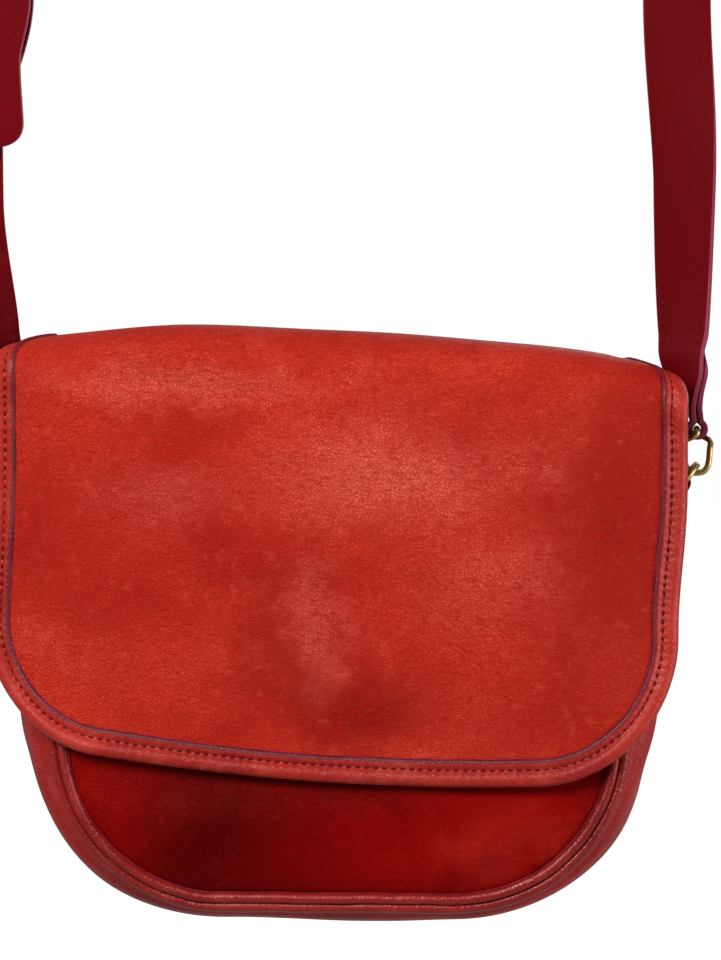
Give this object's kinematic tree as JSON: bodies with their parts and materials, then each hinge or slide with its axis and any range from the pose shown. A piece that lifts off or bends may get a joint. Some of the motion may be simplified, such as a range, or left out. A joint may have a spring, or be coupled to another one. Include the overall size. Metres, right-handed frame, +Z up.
{
  "type": "crossbody purse",
  "caption": "Leather crossbody purse with a front flap, a round-cornered gusseted body and a long buckled strap on brass rings.",
  "frame": {"origin": "underside of the strap's top arc, in the strap's middle, where the purse hangs", "axes": "+X the viewer's right, -Y the front with the flap, +Z up"},
  "size_m": [0.3021, 0.0808, 0.686],
  "materials": {
    "body_leather": "smooth, satin",
    "flap_leather": "smooth, worn, satin",
    "strap_leather": "smooth, satin",
    "lining": "matt suede",
    "brass": "antique",
    "steel": "satin"
  },
  "bodies": {
    "strap": {"long_strap": "strap_leather", "short_strap": "strap_leather", "buckle_frame": "brass"},
    "prong": {"buckle_prong": "brass"},
    "keeper": {"strap_keeper": "strap_leather"},
    "right_link": {"right_strap_link": "brass"},
    "left_link": {"left_strap_link": "brass"},
    "right_ring_body": {"right_ring": "brass"},
    "left_ring_body": {"left_ring": "brass"},
    "bag": {"right_tab": "strap_leather", "left_tab": "strap_leather", "front_panel": "body_leather", "back_panel": "body_leather", "gusset": "body_leather", "front_piping": "body_leather", "back_piping": "body_leather", "front_mouth_trim": "strap_leather", "inner_pocket": "lining", "snap_socket": "steel", "snap_washer": "steel"},
    "flap_roof": {"flap_top": "flap_leather"},
    "flap_face": {"flap_front": "flap_leather", "flap_binding": "flap_leather", "snap_stud": "steel"}
  },
  "joints": [
    {"name": "bag_swing", "type": "hinge", "parent": "strap", "child": "bag", "pos_m": [0, 0, -0.51191], "axis": [1, 0, 0], "range_deg": [-25, 25]},
    {"name": "flap_lift", "type": "hinge", "parent": "bag", "child": "flap_roof", "pos_m": [0, 0.0454, -0.4782], "axis": [-1, 0, 0], "range_deg": [0, 30]},
    {"name": "flap_fold", "type": "hinge", "parent": "flap_roof", "child": "flap_face", "pos_m": [0, -0.0342, -0.47515], "axis": [-1, 0, 0], "range_deg": [0, 100]},
    {"name": "right_ring_pivot", "type": "hinge", "parent": "bag", "child": "right_ring_body", "pos_m": [0.1346, 0, -0.516], "axis": [0, -1, 0], "range_deg": [0, 8]},
    {"name": "left_ring_pivot", "type": "hinge", "parent": "bag", "child": "left_ring_body", "pos_m": [-0.1346, 0, -0.516], "axis": [0, 1, 0], "range_deg": [0, 8]},
    {"name": "right_link_pivot", "type": "hinge", "parent": "strap", "child": "right_link", "pos_m": [0.14039, 0, -0.49491], "axis": [0, 1, 0], "range_deg": [-4, 4]},
    {"name": "left_link_pivot", "type": "hinge", "parent": "strap", "child": "left_link", "pos_m": [-0.14039, 0, -0.49491], "axis": [0, 1, 0], "range_deg": [-4, 4]},
    {"name": "prong_pivot", "type": "hinge", "parent": "strap", "child": "prong", "pos_m": [-0.1355, 0, -0.282], "axis": [1, 0, 0], "range_deg": [0, 12]},
    {"name": "keeper_slide", "type": "slide", "parent": "strap", "child": "keeper", "axis": [0, 0, 1], "range_m": [-0.008, 0.012]}
  ]
}
